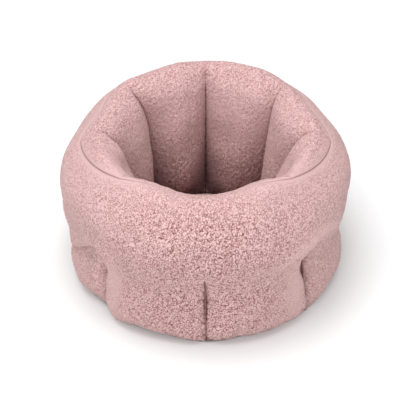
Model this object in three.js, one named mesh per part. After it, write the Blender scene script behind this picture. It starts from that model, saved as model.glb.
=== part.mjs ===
// A deep round cuddler bed for a small pet: a stuffed wall of eight chambers round a well, with a
// loose seat cushion in the bottom of the well. Millimetres, +Z up, front towards -Y, and the
// origin at the middle of the underside.

import * as THREE from 'three';
import { ParametricGeometry } from 'three/addons/geometries/ParametricGeometry.js';

// Driving dimensions.
const CHAMBERS = 8;
const BULGE_RADIUS = 250;       // widest radius of the puffed ring, at the middle of a chamber
const WAIST_RADIUS = 233;       // under the puffed ring
const LOWER_RADIUS = 240;       // the wall's foot, where it swells again
const BASE_RADIUS = 222;        // the seam between the sleeve and the base
const RIM_RADIUS = 179;         // crest of the rim
const RIM_HEIGHT = 287;
const MOUTH_RADIUS = 126;       // the well at its mouth, between two opposite petals
const WELL_RADIUS = 104;        // the well lower down
const CREASE_RADIUS = 157;      // bottom of the crease between two petals
const FOOT_RADIUS = 148;        // seam between the petals and the floor of the well
const CHAMBER_DENT = 13;        // how far a chamber seam pulls the lower wall in
const RIM_DIP = 7;              // how far a crease lowers the rim
const SIDE_SQUEEZE = 3;         // degrees that the diagonal seams lie towards the sides

const FLEECE = 3;               // a fleece cover, pile included
const FILL_GAP = 2.2;           // between a cover and its filling
const TURN_GAP = 3.2;           // more of that where the wall turns over at its rim and its foot
const CHAMBER_GAP = 0.01;       // share of half a chamber left free at each side seam
const SEAM_GAP = 0.05;          // half the width of the rim seam, in steps of the outline
const THREAD = 1.2;
const THREAD_LIFT = 0.6;        // between the sleeve and an upright stitch line
const LABEL = 0.8;              // the satin tab's thickness, and the gap behind it

const BASE_COVER = 2.5;
const BASE_PAD = 8;
const FLOOR_LINING = 2.5;
const LAYER_GAP = 0.4;
const PAD_BOTTOM = BASE_COVER + LAYER_GAP;
const FILL_BOTTOM = PAD_BOTTOM + BASE_PAD + LAYER_GAP;
const FLOOR_TOP = FILL_BOTTOM + FLOOR_LINING;
const FOOT_HEIGHT = FLOOR_TOP + 1.2;
const SLEEVE_BOTTOM = 3.5;

const CUSHION_RADIUS = 98;
const CUSHION_BOTTOM = FLOOR_TOP + LAYER_GAP;
const CUSHION_SEAM_HEIGHT = 42;
const CUSHION_CROWN = 42;       // crown above the edge seam
const CUSHION_COVER = 2.4;

const fleece = new THREE.MeshStandardMaterial({ color: '#d6aeac', roughness: 0.95, metalness: 0 });
const thread = new THREE.MeshStandardMaterial({ color: '#b98884', roughness: 0.8, metalness: 0 });
const fibre = new THREE.MeshStandardMaterial({ color: '#f2efea', roughness: 0.9, metalness: 0 });
const gripCloth = new THREE.MeshStandardMaterial({ color: '#8d8583', roughness: 0.75, metalness: 0 });
const felt = new THREE.MeshStandardMaterial({ color: '#dcd8d2', roughness: 0.9, metalness: 0 });
const satin = new THREE.MeshStandardMaterial({ color: '#f4f2f0', roughness: 0.5, metalness: 0 });

// The wall's outline as [radius, height], from the base seam up the outside, over the rim and down
// the inside to the floor of the well. One outline runs over the middle of a chamber, the other
// along the seam between two chambers, and both have the same number of points.
const middleOutline = new THREE.SplineCurve([
  [BASE_RADIUS, SLEEVE_BOTTOM],
  [LOWER_RADIUS, 30],
  [LOWER_RADIUS, 72],
  [WAIST_RADIUS, 115],
  [BULGE_RADIUS - 7, 155],
  [BULGE_RADIUS, 190],
  [BULGE_RADIUS - 10, 228],
  [BULGE_RADIUS - 37, RIM_HEIGHT - 27],
  [RIM_RADIUS, RIM_HEIGHT],
  [MOUTH_RADIUS + 16, RIM_HEIGHT - 21],
  [MOUTH_RADIUS, 222],
  [WELL_RADIUS + 10, 170],
  [WELL_RADIUS + 2, 120],
  [WELL_RADIUS, 70],
  [WELL_RADIUS + 18, 28],
  [FOOT_RADIUS, FOOT_HEIGHT],
].map(([radius, height]) => new THREE.Vector2(radius, height)));

const seamOutline = new THREE.SplineCurve([
  [BASE_RADIUS, SLEEVE_BOTTOM],
  [LOWER_RADIUS - CHAMBER_DENT, 30],
  [LOWER_RADIUS - CHAMBER_DENT, 72],
  [WAIST_RADIUS - 4, 115],
  [BULGE_RADIUS - 9, 155],
  [BULGE_RADIUS - 2, 190],
  [BULGE_RADIUS - 12, 228],
  [BULGE_RADIUS - 36, RIM_HEIGHT - 31],
  [RIM_RADIUS + 7, RIM_HEIGHT - RIM_DIP],
  [CREASE_RADIUS + 8, RIM_HEIGHT - 26],
  [CREASE_RADIUS, 220],
  [CREASE_RADIUS - 1, 170],
  [CREASE_RADIUS, 120],
  [CREASE_RADIUS + 1, 70],
  [CREASE_RADIUS - 1, 38],
  [FOOT_RADIUS, FOOT_HEIGHT],
].map(([radius, height]) => new THREE.Vector2(radius, height)));

// Levels count the steps of the outline: 0 at the base seam, 8 at the crest, 15 at the well's floor.
const LAST = middleOutline.points.length - 1;
const CREST = 8;
const CREST_EDGE = 0.05;        // what the two faces of a filling leave free on each side of the crest
const SHOULDER = 6;             // below every stretch of the rim seam
const MOUTH = 10;
const RIM_SEAM_LEVEL = 7;       // the rim seam at the back, between two chambers
const SCALLOP = 0.5;            // how far it rises over the middle of a chamber
const SIDE_RISE = 1;            // how far it climbs along the sides towards the front
const FRONT_ROLL = 1.5;         // and how far the sleeve then rolls over the rim into the well
const PETAL_ROUNDNESS = 0.97;   // 1 for a petal whose sides fold square into the creases

/** Where the rim seam crosses the outline: scalloped behind, and rolled over the crest in front. */
function rimLevel(chamber, across) {
  const forward = Math.max(-Math.sin(angleOf(chamber, across)), 0);
  const scallop = chamber < CHAMBERS / 2 ? SCALLOP * (1 - Math.abs(across) ** 1.5) : 0;
  return RIM_SEAM_LEVEL + SIDE_RISE * forward ** 1.3 + FRONT_ROLL * forward ** 6 + scallop;
}

/** How much of the seam outline shows: a dent outside, and a round petal with a crease inside. */
function seamShare(chamber, across, level) {
  const { lerp, smoothstep } = THREE.MathUtils;
  const rim = rimLevel(chamber, across);
  const dent = Math.abs(across) ** 3;
  const fall = 1 - Math.sqrt(1 - PETAL_ROUNDNESS * across * across);
  const petal = fall / (1 - Math.sqrt(1 - PETAL_ROUNDNESS));
  const pastRim = smoothstep(level, rim - 0.5, rim + 1);
  const creased = lerp(1, pastRim, smoothstep(level, SHOULDER - 1, SHOULDER));
  return creased * lerp(dent, petal, smoothstep(level, 7, 9.5));
}

/** The angle, in radians, of a place across a chamber, from -1 at one seam to 1 at the next. */
function angleOf(chamber, across) {
  const even = (2 * Math.PI / CHAMBERS) * (chamber + 0.5 + across / 2);
  return even - THREE.MathUtils.degToRad(SIDE_SQUEEZE) * Math.sin(2 * even);
}

/** A point of the wall's outer face. */
function wallFace(chamber, across, level) {
  const step = THREE.MathUtils.clamp(level / LAST, 0, 1);
  const middle = middleOutline.getPoint(step);
  const seam = seamOutline.getPoint(step);
  const place = middle.lerp(seam, seamShare(chamber, across, level));
  const angle = angleOf(chamber, across);
  return new THREE.Vector3(place.x * Math.cos(angle), place.x * Math.sin(angle), place.y);
}

/** A point at a depth under the wall's outer face, along the face's normal. */
function wallPoint(chamber, across, level, depth) {
  const small = 0.01;
  const inside = THREE.MathUtils.clamp(across, small - 1, 1 - small);
  const low = Math.max(level - small, 0);
  const high = Math.min(level + small, LAST);
  const along = wallFace(chamber, across, high).sub(wallFace(chamber, across, low));
  const round = wallFace(chamber, inside + small, level).sub(wallFace(chamber, inside - small, level));
  if (Math.abs(across) === 1 && level < CREST) {
    const angle = angleOf(chamber, across);
    round.set(-Math.sin(angle), Math.cos(angle), 0);
  }
  const outward = round.cross(along).normalize();
  return wallFace(chamber, across, level).addScaledVector(outward, -depth);
}

/** Places across a chamber, closer together towards its seams. */
function spread(share) {
  return Math.sin(Math.PI / 2 * (2 * share - 1));
}

/**
 * A closed solid between two faces that are given as rows of points. Each row runs along the front
 * face and back along the rear face, and the first and last rows close onto the middle.
 */
function solidBetween(front, rear, rows, columns) {
  const loop = 2 * (columns + 1);
  const facePoint = (row, index) => (index <= columns
    ? front(row, index / columns)
    : rear(row, (loop - 1 - index) / columns));
  const shape = (u, v, target) => {
    const index = Math.round(u * loop) % loop;
    const row = Math.round(v * (rows + 1)) - 1;
    const inside = THREE.MathUtils.clamp(row, 0, rows - 1);
    const point = facePoint(inside, index);
    if (row !== inside) {
      point.add(facePoint(inside, loop - 1 - index)).multiplyScalar(0.5);
    }
    target.copy(point);
  };
  return new ParametricGeometry(shape, loop, rows + 1);
}

/** A ring round the bed: loopPoint gives the points of its closed section at each place round it. */
function ringSolid(loopPoint, loopCount) {
  const steps = 6;
  const around = steps * CHAMBERS;
  const shape = (u, v, target) => {
    const index = Math.round((1 - u) * loopCount) % loopCount;
    const place = Math.round(v * around) % around;
    const chamber = Math.floor(place / steps);
    target.copy(loopPoint(chamber, spread((place % steps) / steps), index));
  };
  return new ParametricGeometry(shape, loopCount, around);
}

/** Levels evenly spaced after the first one, up to and with the last one. */
function levelsBetween(first, last, count) {
  return Array.from({ length: count }, (_, i) => first + (last - first) * (i + 1) / count);
}

const LOWER_LEVELS = [0, 0.5, 1, 2, 3, 4, 5, 5.5, SHOULDER];
const ROLL_STEPS = 7;

/** The levels of the outline at which the sleeve is shaped, up to its edge at the rim seam. */
function sleeveLevels(rim) {
  return [...LOWER_LEVELS, ...levelsBetween(SHOULDER, rim - SEAM_GAP, ROLL_STEPS)];
}

const WELL_LEVELS = [11, 12, 13, 13.5, 14, 14.5, LAST];
const FILL_FOOT = 0.15;
const TURN_REACH = 1.3;         // steps either side of the crest, and above the foot, that count as a turn

/** The levels of a petal, from the rim seam over the crest and down to the floor of the well. */
function petalLevels(rim) {
  const top = rim + SEAM_GAP;
  return [top, ...levelsBetween(top, MOUTH, ROLL_STEPS + 1), ...WELL_LEVELS];
}

function outerSleeve() {
  const count = sleeveLevels(CREST).length;
  return ringSolid((chamber, across, index) => {
    const onFace = index < count;
    const level = sleeveLevels(rimLevel(chamber, across))[onFace ? index : 2 * count - 1 - index];
    return wallPoint(chamber, across, level, onFace ? 0 : FLEECE);
  }, 2 * count);
}

function liningPetal(chamber) {
  const reach = 1 - CHAMBER_GAP / 2;
  const face = (depth) => (row, share) => {
    const across = reach * spread(share);
    return wallPoint(chamber, across, petalLevels(rimLevel(chamber, across))[row], depth);
  };
  return solidBetween(face(0), face(FLEECE), petalLevels(CREST).length, 6);
}

/** The levels of a filling's outer and inner face, both from the base pad up to the crest. */
function fillLevels() {
  const overShoulder = levelsBetween(SHOULDER, CREST - CREST_EDGE, ROLL_STEPS);
  const overMouth = levelsBetween(MOUTH + 1, CREST + CREST_EDGE, ROLL_STEPS + 1);
  return {
    outside: [FILL_FOOT, ...LOWER_LEVELS.slice(1), ...overShoulder],
    inside: [LAST, ...WELL_LEVELS.toReversed(), ...overMouth],
  };
}

/** One chamber's filling. It gives the covers more room where they turn over the rim and the foot. */
function wallFill(chamber) {
  const reach = 1 - CHAMBER_GAP;
  const { outside, inside } = fillLevels();
  const face = (levels) => (row, share) => {
    const across = reach * spread(share);
    const level = levels[row];
    const turning = level > LAST - TURN_REACH || Math.abs(level - CREST) < TURN_REACH;
    const gap = turning ? FILL_GAP + TURN_GAP : FILL_GAP;
    const point = wallPoint(chamber, across, level, FLEECE + gap);
    if (row === 0) {
      point.z = FILL_BOTTOM;
    }
    return point;
  };
  return solidBetween(face(outside), face(inside), inside.length, 6);
}

/** The rim seam's thread, as corners of [steps off the seam, depth]. */
function rimSeam() {
  const half = 0.02;
  const proud = -0.4;
  const corners = [[-half, proud], [half, proud], [half, THREAD], [-half, THREAD]];
  return ringSolid((chamber, across, index) => {
    const [step, depth] = corners[index];
    return wallPoint(chamber, across, rimLevel(chamber, across) + step, depth);
  }, corners.length);
}

/** The thread of an upright stitch line, lying in the dent between this chamber and the next. */
function chamberSeam(chamber) {
  const levels = [0.5, 1, 2, 3];
  const face = (lift) => (row, share) => {
    const point = wallPoint(chamber, 1, levels[row], -lift);
    const angle = angleOf(chamber, 1);
    const side = new THREE.Vector3(-Math.sin(angle), Math.cos(angle), 0);
    return point.addScaledVector(side, THREAD * (share - 0.5));
  };
  return solidBetween(face(THREAD_LIFT + THREAD), face(THREAD_LIFT), levels.length, 1);
}

/** A blank tab of satin tape that comes out of the base seam and lies up the wall. */
function careLabel() {
  const chamber = 2;
  const halfWidth = 0.14;
  const levels = [0.12, 0.4, 0.7];
  const face = (lift) => (row, share) =>
    wallPoint(chamber, halfWidth * (2 * share - 1), levels[row], -lift);
  return solidBetween(face(2 * LABEL), face(LABEL), levels.length, 4);
}

/** A solid turned about the bed's upright axis from an outline of [radius, height]. */
function turned(outline, segments) {
  const points = outline.map(([radius, height]) => new THREE.Vector2(radius, height));
  return new THREE.LatheGeometry(points, segments).rotateX(Math.PI / 2);
}

/** A flat round layer with square edges. */
function disc(radius, bottom, thickness) {
  const top = bottom + thickness;
  return turned([[0, bottom], [radius, bottom], [radius, top], [0, top]], 48);
}

/** A flat ring with a square section. */
function flatRing(inner, outer, low, high, segments) {
  return turned([[inner, low], [outer, low], [outer, high], [inner, high], [inner, low]], segments);
}

/** The tape round the edge of the base cover, which closes it to the sleeve. */
function baseBinding() {
  return flatRing(BASE_RADIUS - 3.6, BASE_RADIUS, LAYER_GAP, SLEEVE_BOTTOM - 0.5, 48);
}

/** Points of a crowned outline from the axis to the edge: a quarter of a full, soft oval. */
function crownOutline(radius, start, height, fullness) {
  const points = [];
  const steps = 8;
  for (let i = 0; i <= steps; i += 1) {
    const turn = (Math.PI / 2) * (i / steps);
    const out = Math.sin(turn) ** (2 / fullness);
    const up = Math.max(Math.cos(turn), 0) ** (2 / fullness);
    points.push([radius * out, start + height * (i === steps ? 0 : up)]);
  }
  return points;
}

const TOP_FULLNESS = 2.6;
const BOTTOM_FULLNESS = 4;
const BOTTOM_DEPTH = CUSHION_SEAM_HEIGHT - CUSHION_BOTTOM;
const CUSHION_SEAM_HALF = 1.1;
const CUSHION_SEAM_GAP = 0.3;

/** One half of the cushion's cover, with its open side at the edge seam; height < 0 hangs down. */
function cushionHalf(height, fullness) {
  const side = Math.sign(height);
  const away = side * (CUSHION_SEAM_HALF + CUSHION_SEAM_GAP);
  const start = CUSHION_SEAM_HEIGHT + away;
  const rise = height - away;
  const thinner = rise - side * CUSHION_COVER;
  const outside = crownOutline(CUSHION_RADIUS, start, rise, fullness);
  const inside = crownOutline(CUSHION_RADIUS - CUSHION_COVER, start, thinner, fullness).reverse();
  const outline = [...outside, ...inside];
  return turned(height > 0 ? outline.reverse() : outline, 32);
}

function cushionEdgeSeam() {
  const low = CUSHION_SEAM_HEIGHT - CUSHION_SEAM_HALF;
  const high = CUSHION_SEAM_HEIGHT + CUSHION_SEAM_HALF;
  return flatRing(CUSHION_RADIUS - CUSHION_COVER, CUSHION_RADIUS + 1.6, low, high, 32);
}

function cushionFill() {
  const inset = CUSHION_COVER + FILL_GAP;
  const radius = CUSHION_RADIUS - inset;
  const top = crownOutline(radius, CUSHION_SEAM_HEIGHT, CUSHION_CROWN - inset, TOP_FULLNESS);
  const bottom = crownOutline(radius, CUSHION_SEAM_HEIGHT, inset - BOTTOM_DEPTH, BOTTOM_FULLNESS);
  return turned([...bottom, ...top.reverse().slice(1)], 32);
}

const bed = new THREE.Group();

function add(name, geometry, material) {
  const mesh = new THREE.Mesh(geometry, material.clone());
  mesh.name = name;
  bed.add(mesh);
}

add('base_cover', disc(BASE_RADIUS - 4, 0, BASE_COVER), gripCloth);
add('base_binding', baseBinding(), gripCloth);
add('base_pad', disc(BASE_RADIUS - 8, PAD_BOTTOM, BASE_PAD), felt);
add('floor_lining', disc(FOOT_RADIUS - 2, FILL_BOTTOM, FLOOR_LINING), fleece);
add('outer_sleeve', outerSleeve(), fleece);
add('rim_seam', rimSeam(), thread);
add('care_label', careLabel(), satin);
for (let chamber = 0; chamber < CHAMBERS; chamber += 1) {
  add(`lining_petal_${chamber + 1}`, liningPetal(chamber), fleece);
  add(`wall_fill_${chamber + 1}`, wallFill(chamber), fibre);
  add(`chamber_seam_${chamber + 1}`, chamberSeam(chamber), thread);
}
add('cushion_cover_top', cushionHalf(CUSHION_CROWN, TOP_FULLNESS), fleece);
add('cushion_cover_bottom', cushionHalf(-BOTTOM_DEPTH, BOTTOM_FULLNESS), fleece);
add('cushion_edge_seam', cushionEdgeSeam(), thread);
add('cushion_fill', cushionFill(), fibre);

export default bed;
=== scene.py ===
"""Looks of a deep round cuddler bed for a small pet: eight stuffed chambers of curly fleece stand
round a well, and a loose seat cushion lies in the bottom of it. Metres, +Z up, front towards -Y."""

import bpy
import numpy as np
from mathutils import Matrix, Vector


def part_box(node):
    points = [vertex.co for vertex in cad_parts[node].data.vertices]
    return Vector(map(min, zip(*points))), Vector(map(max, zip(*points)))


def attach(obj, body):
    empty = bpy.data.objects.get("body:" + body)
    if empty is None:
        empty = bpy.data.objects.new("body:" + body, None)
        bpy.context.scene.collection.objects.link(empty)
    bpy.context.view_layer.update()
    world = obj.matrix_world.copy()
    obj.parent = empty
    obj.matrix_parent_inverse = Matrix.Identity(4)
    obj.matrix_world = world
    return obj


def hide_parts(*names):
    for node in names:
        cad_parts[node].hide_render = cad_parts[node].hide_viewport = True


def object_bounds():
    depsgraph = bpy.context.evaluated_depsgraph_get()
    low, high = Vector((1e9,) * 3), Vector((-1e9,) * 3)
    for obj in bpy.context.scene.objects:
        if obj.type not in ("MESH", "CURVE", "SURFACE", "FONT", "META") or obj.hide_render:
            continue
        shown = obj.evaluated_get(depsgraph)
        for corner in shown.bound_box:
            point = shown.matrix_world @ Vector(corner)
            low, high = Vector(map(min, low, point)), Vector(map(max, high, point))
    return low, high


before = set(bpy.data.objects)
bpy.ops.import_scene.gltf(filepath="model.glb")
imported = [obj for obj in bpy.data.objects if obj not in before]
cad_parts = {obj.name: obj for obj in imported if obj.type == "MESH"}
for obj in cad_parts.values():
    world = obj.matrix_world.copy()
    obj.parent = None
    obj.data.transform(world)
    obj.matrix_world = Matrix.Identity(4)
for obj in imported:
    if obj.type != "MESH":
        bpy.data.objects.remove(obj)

MM = 0.001
CAD_LOW, CAD_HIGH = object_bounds()

# The wall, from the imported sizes. The seams between chambers lie on the axes and the diagonals. A
# dent pulls each of them in, and the diagonal ones are drawn a little towards the sides.
CHAMBERS = 8
RIM_HEIGHT = CAD_HIGH.z
BULGE_RADIUS = CAD_HIGH.x + 1.5 * MM
BASE_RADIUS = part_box("base_binding")[1].x
FOOT_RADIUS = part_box("floor_lining")[1].x + 2 * MM
FLOOR_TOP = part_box("floor_lining")[1].z
SLEEVE_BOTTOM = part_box("outer_sleeve")[0].z
RIM_RADIUS = BULGE_RADIUS - 71 * MM
LOWER_RADIUS = BULGE_RADIUS - 10 * MM
WAIST_RADIUS = BULGE_RADIUS - 17 * MM
MOUTH_RADIUS = BULGE_RADIUS - 124 * MM
WELL_RADIUS = BULGE_RADIUS - 146 * MM
CREASE_RADIUS = FOOT_RADIUS + 9 * MM
CHAMBER_DENT = 13 * MM
RIM_DIP = 7 * MM
SIDE_SQUEEZE = np.radians(3.0)

# The thickness of the cloth, the room between it and the stuffing, the further room where the wall
# turns over, and how far short of the rim seam each cover stops, in levels.
FLEECE = 3 * MM
FILL_GAP = 2.2 * MM
TURN_GAP = 3.2 * MM
SEAM_GAP = 0.01

# One outline runs over the middle of a chamber and the other along the seam between two: radius
# and height, from the base seam up the outside, over the rim and down to the floor of the well. A
# level is a place along them, counted in points from the first one.
MIDDLE = np.array([
    (BASE_RADIUS, SLEEVE_BOTTOM),
    (LOWER_RADIUS, 30 * MM),
    (LOWER_RADIUS, 72 * MM),
    (WAIST_RADIUS, 115 * MM),
    (BULGE_RADIUS - 7 * MM, 155 * MM),
    (BULGE_RADIUS, 190 * MM),
    (BULGE_RADIUS - 10 * MM, 228 * MM),
    (BULGE_RADIUS - 37 * MM, RIM_HEIGHT - 27 * MM),
    (RIM_RADIUS, RIM_HEIGHT),
    (MOUTH_RADIUS + 16 * MM, RIM_HEIGHT - 21 * MM),
    (MOUTH_RADIUS, 222 * MM),
    (WELL_RADIUS + 10 * MM, 170 * MM),
    (WELL_RADIUS + 2 * MM, 120 * MM),
    (WELL_RADIUS, 70 * MM),
    (WELL_RADIUS + 18 * MM, 28 * MM),
    (FOOT_RADIUS, FLOOR_TOP + 1.2 * MM),
])
SEAM = np.array([
    (BASE_RADIUS, SLEEVE_BOTTOM),
    (LOWER_RADIUS - CHAMBER_DENT, 30 * MM),
    (LOWER_RADIUS - CHAMBER_DENT, 72 * MM),
    (WAIST_RADIUS - 4 * MM, 115 * MM),
    (BULGE_RADIUS - 9 * MM, 155 * MM),
    (BULGE_RADIUS - 2 * MM, 190 * MM),
    (BULGE_RADIUS - 12 * MM, 228 * MM),
    (BULGE_RADIUS - 36 * MM, RIM_HEIGHT - 31 * MM),
    (RIM_RADIUS + 7 * MM, RIM_HEIGHT - RIM_DIP),
    (CREASE_RADIUS + 8 * MM, RIM_HEIGHT - 26 * MM),
    (CREASE_RADIUS, 220 * MM),
    (CREASE_RADIUS - 1 * MM, 170 * MM),
    (CREASE_RADIUS, 120 * MM),
    (CREASE_RADIUS + 1 * MM, 70 * MM),
    (CREASE_RADIUS - 1 * MM, 38 * MM),
    (FOOT_RADIUS, FLOOR_TOP + 1.2 * MM),
])
LAST = len(MIDDLE) - 1
CREST = 8
SHOULDER = 6
LEVEL_LENGTH = 42 * MM

# The rim seam's level, and how far it rises behind, at the sides and in front.
RIM_SEAM_LEVEL = 7
SCALLOP = 0.5
SIDE_RISE = 1.0
FRONT_ROLL = 1.5

# The crease that leans over inside, by how much and at what angle, and how round the petals are.
LEAN = np.radians(6.0)
LEANING = np.radians(138.0)
PETAL_DEPTH = 0.97


# ---- Surface maths, on whole arrays ----

def smoothstep(value, low, high):
    """0 below low, 1 above high, and a smooth S between them."""
    share = np.clip((value - low) / (high - low), 0.0, 1.0)
    return share * share * (3.0 - 2.0 * share)


def through(points, place):
    """A uniform Catmull-Rom curve through the points. place counts points from the first one."""
    last = len(points) - 1
    place = np.clip(place, 0.0, last)
    start = np.minimum(place.astype(int), last - 1)
    share = (place - start).reshape(place.shape + (1,) * (points.ndim - 1))
    before = points[np.maximum(start - 1, 0)]
    here = points[start]
    there = points[start + 1]
    after = points[np.minimum(start + 2, last)]
    slope_here = (there - before) / 2
    slope_there = (after - here) / 2
    cubic = 2 * here - 2 * there + slope_here + slope_there
    square = 3 * there - 3 * here - 2 * slope_here - slope_there
    return ((cubic * share + square) * share + slope_here) * share + here


def angle_of(chamber, across):
    """The angle of a place across a chamber: even eighths, with the diagonal ones drawn sideways."""
    even = (2 * np.pi / CHAMBERS) * (chamber + 0.5 + across / 2)
    return even - SIDE_SQUEEZE * np.sin(2 * even)


def place_at(degrees):
    """The chamber, and the place across it, at an angle: angle_of turned round by three repeats."""
    angle = np.radians(np.asarray(degrees, float))
    even = angle
    for _ in range(3):
        even = angle + SIDE_SQUEEZE * np.sin(2 * even)
    turn = (even / (2 * np.pi / CHAMBERS)) % CHAMBERS
    chamber = np.floor(turn)
    return chamber, 2 * (turn - chamber) - 1


def rim_level(chamber, across):
    """Where the rim seam crosses the outline: scalloped behind, and rolled over the crest in front."""
    forward = np.maximum(-np.sin(angle_of(chamber, across)), 0.0)
    scallop = SCALLOP * (1 - np.abs(across) ** 1.5) * (chamber < CHAMBERS / 2)
    return RIM_SEAM_LEVEL + SIDE_RISE * forward ** 1.3 + FRONT_ROLL * forward ** 6 + scallop


def seam_share(chamber, across, level):
    """How much of the seam outline shows: a dent outside, and a round petal with a crease inside."""
    rim = rim_level(chamber, across)
    dent = np.abs(across) ** 3
    deep = 1 - np.sqrt(1 - PETAL_DEPTH)
    petal = (1 - np.sqrt(1 - PETAL_DEPTH * across ** 2)) / deep
    over = smoothstep(level, SHOULDER - 1, SHOULDER)
    creased = 1 + over * (smoothstep(level, rim - 0.5, rim + 1) - 1)
    inside = smoothstep(level, RIM_SEAM_LEVEL, 9.5)
    return creased * (dent + inside * (petal - dent))


def bell(value, middle, width):
    """1 at the middle, falling to a third at a width from it."""
    return np.exp(-(((value - middle) / width) ** 2))


def degrees_of(points):
    """The angle of each point round the bed, from 0 to 360 degrees."""
    return np.degrees(np.arctan2(points[..., 1], points[..., 0])) % 360


def wall_face(chamber, across, level):
    """The wall's face: the two outlines mixed by seam_share, turned to the angle of the place. Down
    the well the crease at the left of the back leans over towards the back."""
    share = seam_share(chamber, across, level)[..., None]
    place = through(MIDDLE, level) * (1 - share) + through(SEAM, level) * share
    angle = angle_of(chamber, across)
    angle = angle - LEAN * bell(angle, LEANING, np.radians(24)) * smoothstep(level, 8.5, 10.5)
    return np.stack([place[..., 0] * np.cos(angle), place[..., 0] * np.sin(angle), place[..., 1]], -1)


def length_of(vectors):
    """The length of each vector."""
    return np.linalg.norm(vectors, axis=-1)


def unit(vectors):
    """The vectors, each divided by its length."""
    return vectors / np.maximum(np.linalg.norm(vectors, axis=-1, keepdims=True), 1e-12)


def slope(grid, axis, closed):
    """Central differences along one axis of a grid, one-sided at its ends unless it is closed."""
    if closed:
        return np.roll(grid, -1, axis) - np.roll(grid, 1, axis)
    return np.gradient(grid, axis=axis)


def normals(grid, closed=False):
    """Normals of a grid of points: its slope across the columns crossed with that up the rows."""
    return unit(np.cross(slope(grid, 1, closed), slope(grid, 0, False)))


def ripples(points, wavelength, seed, waves=40):
    """Plane waves of about one length, added in every direction: mean 0 and spread about 1."""
    draw = np.random.default_rng(seed)
    heading = unit(draw.normal(size=(waves, 3)))
    length = wavelength * draw.uniform(0.85, 1.2, waves)
    phase = draw.uniform(0, 2 * np.pi, waves)
    turns = points @ (heading * (2 * np.pi / length)[:, None]).T + phase
    return np.cos(turns).sum(-1) / np.sqrt(waves / 2)


def lumps(points, wavelength, seed, height):
    """Soft lumps of stuffing about a wavelength apart, from 0 up to a height."""
    return smoothstep(ripples(points, wavelength, seed), -1.5, 1.5) * height


def curls(points, spacing):
    """Curly pile: swirling ridges about a spacing apart, with smaller tufts on them. 0 is a gap
    between curls and 1 the top of one."""
    drift = np.stack([ripples(points, 2.5 * spacing, seed) for seed in (1, 2, 3)], -1)
    places = points + 0.14 * spacing * drift
    swirl = ripples(places, spacing, 11, 56)
    tufts = ripples(places, 0.55 * spacing, 17, 56)
    return smoothstep(0.8 * swirl + 0.5 * tufts, -1.6, 1.2)


def path_on_wall(degrees_and_levels, count=36):
    """Points of a smooth line on the wall through places given as (degrees, level)."""
    given = np.array(degrees_and_levels, float)
    places = through(given, np.linspace(0, len(given) - 1, count))
    return wall_face(*place_at(places[:, 0]), places[:, 1])


def beside(points, line):
    """How far points are from a line, the number of its nearest point, and the line's direction."""
    nearest = length_of(points[..., None, :] - line).argmin(-1)
    along = unit(np.gradient(line, axis=0))[nearest]
    offset = points - line[nearest]
    forward = np.einsum("...i,...i->...", offset, along)
    aside = length_of(offset - forward[..., None] * along)
    reach = 0.6 * length_of(np.diff(line, axis=0)).mean()
    return np.hypot(aside, np.maximum(np.abs(forward) - reach, 0)), nearest, along


def near(points, line, width):
    """1 on a line, falling off away from it."""
    return np.exp(-beside(points, line)[0] / width)


def fold(points, outward, line, depth, width, step=0.0, sharp=False):
    """A fold along a line: a groove whose depth falls off with the distance from the line, as a
    bell or, when sharp, as a point, plus a step up on the line's left side. It fades at its ends."""
    away, nearest, along = beside(points, line)
    share = nearest / (len(line) - 1)
    fade = np.sqrt(np.clip(np.sin(np.pi * np.clip(share, 0.02, 0.98)), 0, 1))
    side = np.einsum("...i,...i->...", np.cross(outward, along), points - line[nearest])
    groove = np.exp(-away / width) if sharp else np.exp(-((away / width) ** 2))
    rise = np.tanh(side / width) * np.exp(-((away / (3.5 * width)) ** 2))
    return fade * (step * rise - depth * groove)


# ---- Pieces ----

BED = "bed"
SEAT = "seat_cushion"


def quads(rows, columns, closed, first=0, flip=False, rolled=False):
    """Corner numbers of a grid's faces, row by row. closed joins the last column to the first, and
    rolled the last row to the first."""
    row, column = np.indices((rows - (not rolled), columns - (not closed)))
    above = (row + 1) % rows
    after = (column + 1) % columns
    corners = [row * columns + column, row * columns + after,
               above * columns + after, above * columns + column]
    if flip:
        corners.reverse()
    return np.stack(corners, -1).reshape(-1, 4) + first


def border(front, back, step):
    """Faces that join the edge of a fine grid to that of a coarse one behind it: step + 1 corners
    of the fine edge and 2 of the coarse one for each face. Both edges run the same way round."""
    starts = np.arange(0, len(front) - step, step)
    fine = front[starts[:, None] + np.arange(step + 1)]
    coarse = np.stack([back[starts // step + 1], back[starts // step]], -1)
    return np.concatenate([fine, coarse], -1)


def shell(front, back, step=1, closed=False):
    """A closed sheet of cloth: a fine grid in front, a grid of every step-th point behind it, and
    faces round their edges. Returns the points and the groups of faces."""
    rows, columns = front.shape[:2]
    back_rows, back_columns = back.shape[:2]
    first = rows * columns
    number = np.arange(first).reshape(rows, columns)
    behind = np.arange(back_rows * back_columns).reshape(back_rows, back_columns) + first
    if closed:
        number = np.concatenate([number, number[:, :1]], 1)
        behind = np.concatenate([behind, behind[:, :1]], 1)
    groups = [
        quads(rows, columns, closed),
        quads(back_rows, back_columns, closed, first, flip=True),
        border(number[-1], behind[-1], step),
        border(number[0], behind[0], step)[:, ::-1],
    ]
    if not closed:
        groups.append(border(number[:, 0], behind[:, 0], step))
        groups.append(border(number[:, -1], behind[:, -1], step)[:, ::-1])
    return np.concatenate([front.reshape(-1, 3), back.reshape(-1, 3)]), groups


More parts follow.
